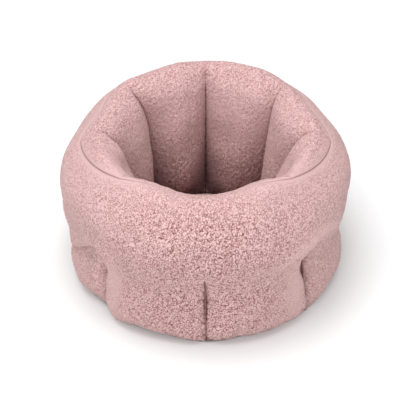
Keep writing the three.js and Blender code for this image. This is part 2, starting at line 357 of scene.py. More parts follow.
def piece(name, points, groups, material, body, replaced=(), slot=None, **values):
    """A finished piece from points, groups of faces with equal numbers of corners, and values at
    the points for its material. It rides on a body and stands for the nodes that it replaces."""
    mesh = bpy.data.meshes.new(name)
    corners = np.concatenate([group.ravel() for group in groups]).astype(np.int32)
    sizes = np.concatenate([np.full(len(group), group.shape[1]) for group in groups])
    starts = np.concatenate([[0], np.cumsum(sizes)[:-1]]).astype(np.int32)
    mesh.vertices.add(len(points))
    mesh.vertices.foreach_set("co", points.astype(np.float32).ravel())
    mesh.loops.add(len(corners))
    mesh.loops.foreach_set("vertex_index", corners)
    mesh.polygons.add(len(starts))
    mesh.polygons.foreach_set("loop_start", starts)
    mesh.polygons.foreach_set("use_smooth", np.ones(len(starts), bool))
    for label, value in values.items():
        layer = mesh.attributes.new(label, "FLOAT", "POINT")
        layer.data.foreach_set("value", value.astype(np.float32).ravel())
    mesh.update(calc_edges=True)
    mesh.materials.append(material)
    made = bpy.data.objects.new(name, mesh)
    bpy.context.scene.collection.objects.link(made)
    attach(made, body)
    if replaced:
        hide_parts(*replaced)
    return made


# The pile's curls, how high they lie on the cloth where it is plain, and how much coarser its back is.
PILE_SPACING = 7.5 * MM
PILE_HEIGHT = 2.0 * MM
PLAIN_PILE = 0.6
BACK_STEP = 4


def fleece_piece(node, material, body, base, relief, calm_and_painted_sheen, painted_shade, closed=False, facing=None,
                 thickness=FLEECE):
    """Cloth with a curly pile over a base grid: the base moved out by its relief, then by the
    height of the curls, which is less where the cloth is calm. The calm values also paint its colour
    paler, a painted sheen. The back stays plain. The shade values are painted shade that darkens the
    colour, 1 in the bottom of a seam, where shade falls. facing stands in for the normals."""
    calm_and_painted_sheen = np.clip(calm_and_painted_sheen, 0, 1)
    outward = normals(base, closed) if facing is None else facing
    formed = base + relief[..., None] * outward
    outward = normals(formed, closed) if facing is None else facing
    pile = PLAIN_PILE + (curls(formed, PILE_SPACING) - PLAIN_PILE) * (1 - calm_and_painted_sheen)
    front = formed + (PILE_HEIGHT * (pile - 0.5))[..., None] * outward
    back = (formed - thickness * outward)[::BACK_STEP, ::BACK_STEP]
    points, groups = shell(front, back, BACK_STEP, closed)
    behind = np.full(back.shape[:2], 0.5).ravel()
    fields = {"pile": pile, "calm_and_painted_sheen": calm_and_painted_sheen, "painted_shade": np.clip(painted_shade, 0, 1)}
    values = {name: np.concatenate([field.ravel(), behind]) for name, field in fields.items()}
    return piece(f"{node}_cloth", points, groups, material, body, [node], "fleece", **values)


SLEEVE_COLUMNS = 80
SLEEVE_ROWS = 137
PETAL_COLUMNS = 113
PETAL_ROWS = 181
FILL_COLUMNS = 41
FILL_ROWS = 81
FILL_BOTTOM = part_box("floor_lining")[0].z
CHAMBER_GAP = 0.01
SEAM_TOP = 4.2


def by_seam(steps_away, width):
    """1 at the rim seam, falling off with the levels away from it."""
    return np.exp(-np.abs(steps_away) * LEVEL_LENGTH / width)


def rim_groove(steps_away):
    """The edge of a cover turns in at the rim seam: a groove that falls off away from the seam."""
    return -1.5 * MM * by_seam(steps_away, 2.6 * MM)


# How far the wall's lower edge stands out, in millimetres, at some degrees round the bed: it lies
# nearly straight between the seams at the front, and stands out at their corners.
EDGE_SWAY = np.array([
    (0, 0), (195, 1), (205, 2), (214, -3), (221, 0), (228, 6), (240, -3), (252, -3), (264, 3),
    (270, 5), (277, 4), (286, 0), (295, 0), (303, 3), (312, 7), (319, 7), (332, 3), (360, 0),
])
# The pockets under the puffed ring at the left and right of the front, each as the line of its
# edge with the pocket on the line's right, as (degrees, level).
LEFT_POCKET = [
    (198, 2.2), (204, 2.6), (212, 3.3), (220, 4.0), (225, 3.95), (225, 3.3), (222.5, 2.3),
    (221, 1.4), (220, 0.3),
]
RIGHT_POCKET = [
    (320, 0.3), (317.5, 1.4), (315.5, 2.4), (312.5, 3.4), (311.5, 4.1), (315, 4.5), (322, 4.3),
    (331, 3.8), (339, 3.4),
]
# The fold above the right pocket, from the side towards the front.
RIGHT_RIDGE = [
    (340, 4.1), (330, 4.7), (321, 5.0), (313.5, 5.0), (308.5, 4.8), (303.5, 4.5), (299, 4.2),
]


def edge_sway(degrees):
    """How far the lower edge stands out at an angle, in metres."""
    return np.interp(degrees, *EDGE_SWAY.T) * MM


def crest_sway(degrees, level):
    """How the ring differs from a regular one: the back corners stand out and up, the sides behind
    them are flatter, the front of the rim has sunk, and beside it the rim has lost its roundness
    towards the well."""
    high = smoothstep(level, 4.2, 6.0) * (1 - smoothstep(level, 9.0, 10.5))
    rim = bell(level, 7.8, 1.1)
    flat = -7 * bell(degrees, 161, 14) - 5 * bell(degrees, 24, 13)
    corner = 4 * bell(degrees, 137, 7) + 3 * bell(degrees, 59, 10) + 5 * bell(degrees, 88, 20)
    sunk = -10 * bell(degrees, 266, 26) * bell(level, 8.3, 1.1)
    pressed = -17 * bell(degrees, 206, 15) - 19 * bell(degrees, 333, 16)
    return MM * (flat * high + corner * rim + sunk + pressed * bell(level, 9.2, 1.0))


def seam_line(number):
    """The stitched line between two chambers of the lower wall."""
    seam = np.degrees(angle_of(float(number), 1.0))
    places = [(seam - 0.6, SEAM_TOP), (seam, 3.5), (seam + 0.1, 2.0), (seam + 0.4, -0.6)]
    return path_on_wall(places)


def sleeve_relief(base, level, closed=True):
    """What the band has besides its outline: a sharp crease down each seam, the pockets and ridges
    beside the front, the left waist hanging low, the edge's sway and shallow creases all over."""
    degrees = degrees_of(base)
    outward = normals(base, closed)
    sway = edge_sway(degrees) * (1 - smoothstep(level, 0.7, 2.2))
    hanging = 13 * bell(degrees, 190, 15) * bell(level, 3.2, 0.9)
    tucked = 4 * bell(degrees, 188, 12) * bell(level, 1.9, 0.5)
    relief = sway + (hanging - tucked) * MM + crest_sway(degrees, level)
    for number in range(CHAMBERS):
        line = seam_line(number)
        relief += fold(base, outward, line, 6 * MM, 1.8 * MM, sharp=True)
        relief += fold(base, outward, line, 2.5 * MM, 14 * MM)
    relief += fold(base, outward, path_on_wall(LEFT_POCKET), 2.0 * MM, 5.5 * MM, step=10.5 * MM)
    relief += fold(base, outward, path_on_wall(RIGHT_POCKET), 1.5 * MM, 5.5 * MM, step=8.0 * MM)
    relief += fold(base, outward, path_on_wall(RIGHT_RIDGE), -3.0 * MM, 9 * MM)
    left_hollow = 5 * bell(degrees, 212, 7) * bell(level, 2.2, 1.0)
    right_hollow = 4 * bell(degrees, 324, 7) * bell(level, 2.4, 1.0)
    creases = smoothstep(np.abs(ripples(base * [1, 1, 0.5], 60 * MM, 81)), 0, 0.9)
    lower = 1 - smoothstep(level, 4, 6)
    swelling = 1.2 * ripples(base, 85 * MM, 82) * (1 - smoothstep(level, 5, 6.9))
    shallow = 1.4 * lower * (creases - 0.6)
    return relief + MM * (shallow + swelling - left_hollow - right_hollow)


def outer_sleeve(material):
    """The band round the outside: wall_face up to the rim seam, with dents and folds on it."""
    count = SLEEVE_COLUMNS * CHAMBERS
    chamber, number = np.divmod(np.arange(count), SLEEVE_COLUMNS)
    even = 2 * number / SLEEVE_COLUMNS - 1
    across = 0.4 * even + 0.6 * np.sin(np.pi / 2 * even)
    rim = rim_level(chamber, across) - SEAM_GAP
    level = np.linspace(0, 1, SLEEVE_ROWS)[:, None] * rim
    chamber = np.broadcast_to(chamber, level.shape)
    across = np.broadcast_to(across, level.shape)
    base = wall_face(chamber, across, level)
    relief = rim_groove(rim - level) + sleeve_relief(base, level)
    degrees = degrees_of(base)
    near_rim = by_seam(rim - level, 4 * MM)
    front = bell(degrees, 268, 44)
    left_stretch = bell(degrees, 229, 5) * bell(level, 2.4, 1.6)
    right_stretch = bell(degrees, 309, 5) * bell(level, 2.2, 1.3)
    ridge = near(base, path_on_wall(RIGHT_RIDGE), 9 * MM)
    # The calm values flatten the pile and paint the colour paler, a painted sheen: most at the sides,
    # on the stretched places and the ridge, and by the rim.
    calm_and_painted_sheen = 0.55 * (1 - front) + 0.6 * (left_stretch + right_stretch + ridge)
    calm_and_painted_sheen = calm_and_painted_sheen + near_rim + 0.4 * smoothstep(level, 6.6, 8.2)
    # The shade values are painted shade: dark in the seams' creases, faint along the rim groove, and at
    # the pocket edges.
    seams = np.max([near(base, seam_line(number), 1.5 * MM) for number in range(CHAMBERS)], axis=0)
    painted_shade = 1.5 * seams * (1 - smoothstep(level, SEAM_TOP - 0.5, SEAM_TOP)) + 0.3 * near_rim ** 3
    for pocket in (LEFT_POCKET, RIGHT_POCKET):
        painted_shade += 0.55 * near(base, path_on_wall(pocket), 2.5 * MM)
    made = fleece_piece("outer_sleeve", material, BED, base, relief, calm_and_painted_sheen, painted_shade, closed=True)


def petal_relief(chamber, base, across, level):
    """What a petal has besides its outline: the rim's sway, long soft wrinkles that run down from
    the rim, and slow swellings of the stuffing. Its sides are held where they are sewn."""
    degrees = degrees_of(base)
    wrinkled = smoothstep(level, 7.5, 8.2) * (1 - smoothstep(level, 9.3, 11.5))
    drawn_out = [across * 60 * MM, 0.16 * level * LEVEL_LENGTH, 0 * level + chamber]
    wrinkles = ripples(np.stack(drawn_out, -1), 16 * MM, 91)
    swelling = ripples(base, 80 * MM, 92) * (1 - across ** 2)
    held = 1 - smoothstep(np.abs(across), 0.75, 1.0) * smoothstep(level, 7.8, 9.0)
    free = MM * smoothstep(level - rim_level(chamber, across), 0, 0.7)
    return held * (crest_sway(degrees, level) + free * (0.55 * wrinkled * wrinkles + 1.6 * swelling))


def lining_petal(chamber, material):
    """One panel of the lining, from the rim seam over the crest and down the well to the floor."""
    across = np.sin(np.linspace(-np.pi / 2, np.pi / 2, PETAL_COLUMNS))
    rim = rim_level(chamber, across) + SEAM_GAP
    level = rim + np.linspace(0, 1, PETAL_ROWS)[:, None] * (LAST - rim)
    across = np.broadcast_to(across, level.shape)
    base = wall_face(chamber, across, level)
    relief = rim_groove(level - rim) + petal_relief(chamber, base, across, level)
    near_rim = by_seam(level - rim, 4 * MM)
    degrees = degrees_of(base)
    pressed = (bell(degrees, 215, 14) + bell(degrees, 325, 14)) * bell(level, 8.4, 0.8)
    # The calm values flatten the pile and paint the colour paler, a painted sheen; the band about level
    # 10.2 is painted light on the middle of the well.
    calm_and_painted_sheen = 0.35 + near_rim + 0.5 * pressed + 0.3 * bell(level, 10.2, 1.4)
    # crease and the shade values are painted shade: along the creases at the petals' sides, at the rim
    # groove, and darker down the well.
    crease = smoothstep(np.abs(across), 0.98, 1.0) * smoothstep(level, 8.0, 9.5)
    painted_shade = 0.3 * near_rim ** 3 + crease + 0.5 * smoothstep(level, 11.0, 13.5)
    name = f"lining_petal_{chamber + 1}"
    made = fleece_piece(name, material, BED, base, relief, calm_and_painted_sheen, painted_shade)


def wall_fill(chamber, material):
    """The stuffing of one chamber: a closed form under the sleeve and the petal, with soft lumps."""
    across = (1 - CHAMBER_GAP) * np.sin(np.linspace(-np.pi / 2, np.pi / 2, FILL_COLUMNS))
    up = np.linspace(0.15, CREST - 0.05, FILL_ROWS)[:, None]
    down = np.linspace(LAST, CREST + 0.05, FILL_ROWS)[:, None]
    faces = []
    for level, sign in ((up, 1), (down, -1)):
        places = np.broadcast_arrays(float(chamber), across, level)
        grid = wall_face(*places)
        if sign > 0:
            relief = sleeve_relief(grid, places[2], closed=False)
        else:
            relief = petal_relief(chamber, grid, places[1], places[2])
        turning = (level > LAST - 2) | (np.abs(level - CREST) < 1.3)
        deep = FLEECE + FILL_GAP + np.where(turning, TURN_GAP, 0) + 0 * across
        deep = deep + lumps(grid, 38 * MM, 31 + chamber, 3 * MM)
        deep = deep + lumps(grid, 11 * MM, 41 + chamber, 1.2 * MM)
        outward = sign * normals(grid)
        faces.append(grid - (deep - relief)[..., None] * outward)
    faces[0][..., 2] = np.maximum(faces[0][..., 2], FILL_BOTTOM)
    faces[1][..., 2] = np.maximum(faces[1][..., 2], FILL_BOTTOM)
    name = f"wall_fill_{chamber + 1}"
    made = piece(f"{name}_fibre", *shell(*faces), material, BED, [name], "fibre_fill")


def capped(count, rings, sides):
    """Groups of faces for many equal stacks of rings, each closed by a flat face at either end."""
    first = (np.arange(count) * rings * sides)[:, None, None]
    faces = quads(rings, sides, True) + first
    caps = np.stack([np.arange(sides)[::-1], np.arange(sides) + (rings - 1) * sides]) + first
    return [faces.reshape(-1, 4), caps.reshape(-1, sides)]


def evenly(line, spacing, closed=False):
    """The points of a line at even distances, about a spacing apart."""
    if closed:
        line = np.concatenate([line, line[:1]])
    length = np.concatenate([[0], np.cumsum(length_of(np.diff(line, axis=0)))])
    count = max(int(round(length[-1] / spacing)), 2)
    places = np.linspace(0, length[-1], count + 1)[:count + (not closed)]
    return np.stack([np.interp(places, length, line[:, axis]) for axis in range(3)], -1)


# The stitches of each seam: from one to the next, how long each is, and the radius of the thread.
RIM_STITCH = (4.2 * MM, 3.4 * MM, 0.45 * MM)
CHAMBER_STITCH = (4.6 * MM, 3.6 * MM, 0.5 * MM)
CUSHION_STITCH = (4 * MM, 3.2 * MM, 0.5 * MM)
THREAD_SIDES = 6


def stitches(name, node, material, body, line, outward, stitch, closed=False):
    """Short capsules of thread along a line, each of a stitch's length and bowed a little outwards.
    Rings of six points follow the thread, and each end closes on a small ring."""
    _, length, radius = stitch
    ends = np.roll(line, -1, 0) - np.roll(line, 1, 0) if closed else np.gradient(line, axis=0)
    along = unit(ends)
    side = unit(np.cross(along, outward))
    up = np.cross(side, along)
    place = np.array([-1, -0.93, -0.6, 0, 0.6, 0.93, 1])
    width = np.array([0.35, 0.75, 1, 1.05, 1, 0.75, 0.35]) * radius
    turn = np.arange(THREAD_SIDES) * 2 * np.pi / THREAD_SIDES
    centre = line[:, None] + (place * length / 2)[None, :, None] * along[:, None]
    centre = centre + ((1 - place ** 2) * 0.6 * radius)[None, :, None] * up[:, None]
    ring = np.cos(turn)[:, None] * side[:, None, None] + np.sin(turn)[:, None] * up[:, None, None]
    points = centre[:, :, None] + width[None, :, None, None] * ring
    groups = capped(*points.shape[:3])
    piece(name, points.reshape(-1, 3), groups, material, body, [node], "seam_thread")


def rim_seam(material):
    """The thread of the rim seam: stitches sunk in the groove between the sleeve and the petals."""
    chamber, across = place_at(np.linspace(0, 360, 1440, endpoint=False))
    level = rim_level(chamber, across)
    line = evenly(wall_face(chamber, across, level), RIM_STITCH[0], closed=True)
    chamber, across = place_at(np.degrees(np.arctan2(line[:, 1], line[:, 0])))
    level = rim_level(chamber, across)
    small = 0.02
    upward = wall_face(chamber, across, level + small) - wall_face(chamber, across, level - small)
    along = np.roll(line, -1, 0) - np.roll(line, 1, 0)
    outward = unit(np.cross(along, upward))
    sway = crest_sway(degrees_of(line), level)[:, None]
    sunk = line + (sway - 2.0 * MM) * outward
    stitches("rim_seam_thread", "rim_seam", material, BED, sunk, outward, RIM_STITCH, closed=True)


def chamber_seam(number, material):
    """The stitches of one upright seam, in the bottom of the dent between two chambers. They lie on
    the middle one of three close columns of the wall."""
    level, across = np.broadcast_arrays(
        np.linspace(0.3, SEAM_TOP - 0.3, 80)[:, None], np.array([0.99, 1.0, 1.01]))
    grid = wall_face(np.full(level.shape, float(number)), across, level)
    depth = sleeve_relief(grid, level, closed=False)[:, 1:2]
    angle = angle_of(float(number), 1.0)
    outward = np.array([np.cos(angle), np.sin(angle), 0.0])
    line = evenly(grid[:, 1] + (depth + 0.6 * MM) * outward, CHAMBER_STITCH[0])
    outward = np.broadcast_to(outward, line.shape)
    name = f"chamber_seam_{number + 1}"
    stitches(f"{name}_thread", name, material, BED, line, outward, CHAMBER_STITCH)


def disc_grid(count, radius, height=0.0):
    """A square grid drawn out to a round: x = u sqrt(1 - v v / 2), y = v sqrt(1 - u u / 2)."""
    row, column = np.meshgrid(*[np.linspace(-1, 1, count)] * 2, indexing="ij")
    x = column * np.sqrt(1 - row ** 2 / 2)
    y = row * np.sqrt(1 - column ** 2 / 2)
    return np.stack([radius * x, radius * y, np.full_like(x, height)], -1)


def floor_lining(material):
    """The fleece on the floor of the well: a flat round with a low, trodden pile."""
    grid = disc_grid(121, FOOT_RADIUS - 2 * MM, FLOOR_TOP - 0.5 * MM)
    flat = np.zeros(grid.shape[:2])
    made = fleece_piece("floor_lining", material, BED, grid, flat, flat + 0.3, flat,
                        thickness=1.6 * MM)


def swayed(grid, radius):
    """A flat round grid with its rim drawn in and out by the sway of the wall's lower edge."""
    reach = np.linalg.norm(grid[..., :2], axis=-1, keepdims=True) / radius
    stretch = 1 + edge_sway(degrees_of(grid))[..., None] / radius * reach ** 2
    return grid * np.concatenate([stretch, stretch, np.ones_like(stretch)], -1)


COVER_RADIUS = BASE_RADIUS - 3.9 * MM
DOT_STEP = 13 * MM
DOT_SIDES = 8
# A dot's profile from where it is set in the cloth down to its tip, as (radius, height).
DOT_PROFILE = np.array([(2.4, 1.5), (2.3, 0.6), (1.7, 0.1), (0.8, 0.0)]) * MM


def base_cover(cloth):
    """The cloth under the bed, sagging a little between its dots."""
    grid = disc_grid(97, COVER_RADIUS)
    reach = length_of(grid[..., :2]) / COVER_RADIUS
    grid = swayed(grid, COVER_RADIUS)
    waves = 0.25 * MM * ripples(grid, 55 * MM, 51) * (1 - reach ** 8)
    grid[..., 2] = 1.1 * MM + np.abs(waves)
    back = grid + [0, 0, 0.9 * MM]
    points, groups = shell(grid[:, ::-1], back[:, ::-1])
    made = piece("base_cover_cloth", points, groups, cloth, BED, ["base_cover"], "grip_cloth")


def grip_dots(rubber):
    """The moulded dots on which the bed stands: low domes in rows, every other row set over by
    half a step."""
    row, column = np.meshgrid(np.arange(-18, 19), np.arange(-18, 19), indexing="ij")
    x = (column + 0.5 * (row % 2)) * DOT_STEP
    y = row * DOT_STEP * np.sqrt(3) / 2
    inside = np.hypot(x, y) < COVER_RADIUS - 14 * MM
    centre = np.stack([x[inside], y[inside], np.zeros(inside.sum())], -1)
    turn = np.arange(DOT_SIDES) * 2 * np.pi / DOT_SIDES
    ring = np.stack([np.cos(turn), -np.sin(turn), 0 * turn], -1)
    width, height = DOT_PROFILE[:, None, :1], DOT_PROFILE[:, None, 1:]
    dots = centre[:, None, None] + width * ring + height * np.array([0, 0, 1.0])
    piece("base_grip_dots", dots.reshape(-1, 3), capped(*dots.shape[:3]), rubber, BED,
          slot="grip_cloth")


def ring_band(outline, columns, sway):
    """A closed outline of (radius, height) carried round the bed, its radius swaying by sway(angle)."""
    angle = np.linspace(0, 2 * np.pi, columns, endpoint=False)
    radius = outline[:, :1] + sway(angle)
    height = np.broadcast_to(outline[:, 1:], radius.shape)
    return np.stack([radius * np.cos(angle), radius * np.sin(angle), height], -1)


def rounded_outline(low, high, corner, steps=4):
    """A rectangle from low to high, as (radius, height), with round corners, counter-clockwise."""
    quarter = np.linspace(0, np.pi / 2, steps)
    corners = [(high[0], low[1], -1), (high[0], high[1], 0), (low[0], high[1], 1), (low[0], low[1], 2)]
    points = []
    for x, y, turn in corners:
        middle = np.array([x - np.sign(x - (low[0] + high[0]) / 2) * corner,
                           y - np.sign(y - (low[1] + high[1]) / 2) * corner])
        angle = quarter + turn * np.pi / 2
        points.append(middle + corner * np.stack([np.cos(angle), np.sin(angle)], -1))
    return np.concatenate(points)


def base_binding(material):
    """The tape folded over the edge of the base, with a faint pucker at each stitch."""
    low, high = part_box("base_binding")
    outline = rounded_outline((high.x - 3.6 * MM, low.z), (high.x, high.z), 0.9 * MM)

    def sway(angle):
        """The wall's own sway, less what the tape is pulled in, and a pucker."""
        return edge_sway(np.degrees(angle)) - 1.5 * MM + 0.15 * MM * np.sin(96 * angle)

    grid = ring_band(outline, 480, sway)
    faces = quads(*grid.shape[:2], True, rolled=True)
    piece("base_binding_tape", grid.reshape(-1, 3), [faces], material, BED,
          ["base_binding"], "grip_cloth")


def base_pad(material):
    """The felt pad inside the base: a flat round with soft edges and a needled, uneven face."""
    low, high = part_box("base_pad")
    grid = disc_grid(81, high.x - 0.5 * MM)
    reach = np.linalg.norm(grid[..., :2], axis=-1, keepdims=True)[..., 0] / high.x
    edge = 1.6 * MM * smoothstep(reach, 0.97, 1.0)
    rough = 0.25 * MM * (1 + np.clip(ripples(grid, 14 * MM, 61), -1.5, 1.5) / 1.5)
    grid = swayed(grid, high.x)
    top = grid + np.stack([0 * reach, 0 * reach, high.z - edge - rough], -1)
    bottom = grid + np.stack([0 * reach, 0 * reach, low.z + edge + rough], -1)
    made = piece("base_pad_felt", *shell(top, bottom), material, BED, ["base_pad"], "felt_pad")


LABEL_CHAMBER = 2.0
LABEL_HALF = 0.14
LABEL_FOOT = 0.1
LABEL_END = 0.72


def care_label(material):
    """A blank tab of satin tape that comes out of the base seam and lies up the wall, curling off
    it towards its free end."""
    columns = np.linspace(-LABEL_HALF, LABEL_HALF, 25)
    across, level = np.meshgrid(columns, np.linspace(LABEL_FOOT, LABEL_END, 33))
    face = wall_face(np.full(across.shape, LABEL_CHAMBER), across, level)
    rise = (level - LABEL_FOOT) / (LABEL_END - LABEL_FOOT)
    lift = (1.9 + 3.4 * rise ** 3 + 0.35 * np.sin(9 * rise + 14 * across)) * MM
    front = face + lift[..., None] * normals(face)
    back = front - 0.35 * MM * normals(front)
    made = piece("care_label_tab", *shell(front, back), material, BED, ["care_label"], "satin_tape")


# The seat cushion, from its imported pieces.
CUSHION_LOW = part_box("cushion_cover_bottom")[0].z
CUSHION_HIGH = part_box("cushion_cover_top")[1].z
CUSHION_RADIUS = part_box("cushion_cover_top")[1].x
CUSHION_EDGE = (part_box("cushion_edge_seam")[0].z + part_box("cushion_edge_seam")[1].z) / 2
CUSHION_GRID = 57
CUSHION_FINE = 153
BLOW_FRAMES = 20
MOST_MOVED = 7 * MM
BLOWN_CLOTH = {
    "quality": 6, "mass": 0.3, "tension_stiffness": 12, "compression_stiffness": 12,
    "shear_stiffness": 4, "bending_stiffness": 0.3, "shrink_min": -0.06,
    "vertex_group_mass": "edge", "use_pressure": True, "uniform_pressure_force": 4,
}


def crowned(grid, radius, height, fullness, slack):
    """A flat round grid raised to a crown: height times (1 - reach to the fullness) to the slack."""
    reach = np.clip(length_of(grid[..., :2]) / radius, 0, 1)
    lifted = grid.copy()
    lifted[..., 2] = CUSHION_EDGE + height * (1 - reach ** fullness) ** slack
    return lifted


def blown_cushion():
    """Two rounds of cloth sewn at their edge and blown up: a cloth simulation under pressure, from
    a shape a little flatter than the finished one. Returns the grids of the top and the bottom."""
    flat = disc_grid(CUSHION_GRID, CUSHION_RADIUS - 1 * MM)
    top = crowned(flat, CUSHION_RADIUS, 0.88 * (CUSHION_HIGH - CUSHION_EDGE), 2.6, 0.68)
    bottom = crowned(flat, CUSHION_RADIUS, 0.9 * (CUSHION_LOW - CUSHION_EDGE), 5.0, 0.6)
    number = np.arange(CUSHION_GRID ** 2).reshape(CUSHION_GRID, CUSHION_GRID)
    edge = np.zeros(number.shape, bool)
    edge[[0, -1]] = True
    edge[:, [0, -1]] = True
    top[edge, 2] = CUSHION_EDGE
    below = number + number.size
    below[edge] = number[edge]
    points = np.concatenate([top.reshape(-1, 3), bottom.reshape(-1, 3)])
    faces = quads(*number.shape, False)
    faces = np.concatenate([faces, below.ravel()[faces][:, ::-1]])
    used = np.unique(faces)
    order = np.zeros(len(points), int)
    order[used] = np.arange(len(used))
    mesh = bpy.data.meshes.new("cushion_trial")
    mesh.from_pydata(points[used].tolist(), [], order[faces].tolist())
    trial = bpy.data.objects.new("cushion_trial", mesh)
    bpy.context.scene.collection.objects.link(trial)
    pinned = trial.vertex_groups.new(name="edge")
    pinned.add(order[number[edge]].tolist(), 1.0, "REPLACE")
    cloth = trial.modifiers.new("cloth", "CLOTH")
    for setting, value in BLOWN_CLOTH.items():
        setattr(cloth.settings, setting, value)
    cloth.settings.effector_weights.gravity = 0
    cloth.point_cache.frame_start = 1
    cloth.point_cache.frame_end = BLOW_FRAMES
    for step in range(1, BLOW_FRAMES + 1):
        bpy.context.scene.frame_set(step)
    blown = trial.evaluated_get(bpy.context.evaluated_depsgraph_get()).to_mesh()
    moved = np.zeros(len(used) * 3, np.float32)
    blown.vertices.foreach_get("co", moved)
    bpy.data.objects.remove(trial)
    bpy.context.scene.frame_set(1)
    shift = moved.reshape(-1, 3) - points[used]
    far = np.linalg.norm(shift, axis=-1, keepdims=True)
    shift = shift * np.minimum(1, MOST_MOVED / np.maximum(far, 1e-9))
    settled = points.copy()
    settled[used] += shift
    top = settled[number.ravel()].reshape(*number.shape, 3)
    bottom = settled[below.ravel()].reshape(*number.shape, 3)
    return top, bottom


def finer(grid, count):
    """A grid of points through the given one, with a count of points each way."""
    places = np.linspace(0, len(grid) - 1, count)
    across = through(grid, places).swapaxes(0, 1)
    return through(across, places).swapaxes(0, 1)


def cushion_cover(name, grid, height, cloth):
    """One cover of the cushion: the blown cloth, its pile, and small puckers at its edge seam. Its
    faces point away from an ellipsoid as wide and as high as the cushion."""
    middle = grid - [0, 0, CUSHION_EDGE]
    inward = CUSHION_RADIUS - length_of(grid[..., :2])
    away = np.hypot(inward, middle[..., 2])
    near_seam = np.exp(-away / (2.5 * MM))
    turn = 26 * np.arctan2(grid[..., 1], grid[..., 0])
    pucker = MM * np.sin(turn) * np.exp(-away / (13 * MM)) * (1 - near_seam)
    facing = unit(middle / np.array([CUSHION_RADIUS, CUSHION_RADIUS, height]) ** 2)
    # At the edge seam the pile is flatter and painted paler, a painted sheen, and painted shade darkens
    # its colour.
    made = fleece_piece(name, cloth, SEAT, grid, pucker - 1.2 * MM * near_seam, 0.15 + near_seam,
                        0.7 * near_seam, facing=facing, thickness=2.2 * MM)


def cushion_edge(thread):
    """The stitches round the cushion's edge."""
    angle = np.linspace(0, 2 * np.pi, 720, endpoint=False)
    line = np.stack([np.cos(angle), np.sin(angle), 0 * angle], -1) * (CUSHION_RADIUS + 0.4 * MM)
    line[:, 2] = CUSHION_EDGE
    line = evenly(line, CUSHION_STITCH[0], closed=True)
    outward = unit(line * [1, 1, 0])
    stitches("cushion_edge_thread", "cushion_edge_seam", thread, SEAT, line, outward,
             CUSHION_STITCH, closed=True)


def cushion_fill(top, bottom, fibre):
    """The cushion's stuffing: both covers on a coarser grid, drawn in, with soft lumps on them."""
    middle = np.array([0, 0, CUSHION_EDGE])
    faces = []
    for grid, sign in ((top, 1), (bottom, -1)):
        shrunk = middle + (grid[::2, ::2] - middle) * [0.95, 0.95, 1.0]
        rise = np.maximum(sign * (shrunk[..., 2] - CUSHION_EDGE) - 5 * MM, 0.5 * MM)
        shrunk[..., 2] = CUSHION_EDGE + sign * rise
        hollows = lumps(shrunk, 30 * MM, 71, 2.5 * MM)
        shrunk[..., 2] -= sign * np.minimum(hollows, 0.5 * rise)
        faces.append(shrunk)
    made = piece("cushion_fill_fibre", *shell(*faces), fibre, SEAT, ["cushion_fill"], "fibre_fill")


def seat_cushion(cloth, thread, fibre):
    """The loose cushion: two covers of fleece, the seam round its edge, and its stuffing."""
    top, bottom = (finer(grid, CUSHION_FINE) for grid in blown_cushion())
    top[..., 2] = np.clip(top[..., 2], None, CUSHION_HIGH - 1 * MM)
    bottom[..., 2] = np.clip(bottom[..., 2], CUSHION_LOW + 0.8 * MM, None)
    cushion_cover("cushion_cover_top", top, CUSHION_HIGH - CUSHION_EDGE, cloth)
    cushion_cover("cushion_cover_bottom", bottom[:, ::-1], CUSHION_EDGE - CUSHION_LOW, cloth)
    cushion_edge(thread)
    cushion_fill(top, bottom, fibre)


# ---- Finishes ----

def add_node(tree, kind, inputs=None, **settings):
    """A shader node with its settings, and with its inputs, named or numbered, linked or set."""
    made = tree.nodes.new("ShaderNode" + kind)
    for key, value in settings.items():
        setattr(made, key, value)
    for key, value in (inputs or {}).items():
        if isinstance(value, bpy.types.NodeSocket):
            tree.links.new(value, made.inputs[key])
        else:
            made.inputs[key].default_value = value
    return made


def linear(code):
    """A colour code as linear light."""
    value = np.array([int(code[i:i + 2], 16) for i in (1, 3, 5)]) / 255
    return tuple(np.where(value <= 0.04045, value / 12.92, ((value + 0.055) / 1.055) ** 2.4))


def colour_of(value):
    """A socket as it is, or a colour from a code, three parts or one number for a grey."""
    if isinstance(value, bpy.types.NodeSocket):
        return value
    if isinstance(value, str):
        value = linear(value)
    return (value, value, value, 1.0) if np.isscalar(value) else (*value, 1.0)


def finish_named(name, roughness=0.9, sheen=0.0):
    """A new material with its principled shader, whose even values sit on its own sockets."""
    material = bpy.data.materials.new(name)
    material.use_nodes = True
    shader = material.node_tree.nodes["Principled BSDF"]
    shader.inputs["Roughness"].default_value = roughness
    shader.inputs["Sheen Weight"].default_value = sheen
    shader.inputs["Sheen Roughness"].default_value = 0.45
    shader.inputs["Specular IOR Level"].default_value = 0.25
    return material, material.node_tree, shader


def painted(tree, shader, colour):
    """Puts a colour on the shader."""
    tree.links.new(colour, shader.inputs["Base Color"])


def own_place(tree):
    """The piece's own coordinates."""
    return add_node(tree, "TexCoord").outputs["Object"]


def noise(tree, scale, detail=2.0, roughness=0.5, output="Fac"):
    """Noise on the piece's own coordinates."""
    inputs = {"Vector": own_place(tree), "Scale": scale, "Detail": detail, "Roughness": roughness}
    return add_node(tree, "TexNoise", inputs).outputs[output]


def ramp(tree, value, stops):
    """Colours between stops, given as (place, colour)."""
    made = add_node(tree, "ValToRGB", {"Fac": value})
    elements = made.color_ramp.elements
    while len(elements) < len(stops):
        elements.new(0.5)
    for element, (place, colour) in zip(elements, stops):
        element.position = place
        element.color = colour_of(colour)
    return made.outputs["Color"]


def mixed(tree, share, first, second, blend="MIX"):
    """Two colours mixed by a share, which is a number or a socket."""
    inputs = {0: share, 6: colour_of(first), 7: colour_of(second)}
    return add_node(tree, "Mix", inputs, data_type="RGBA", blend_type=blend).outputs[2]


def maths(tree, operation, first, second=0.0):
    """One sum on two values, each a number or a socket."""
    return add_node(tree, "Math", {0: first, 1: second}, operation=operation).outputs[0]


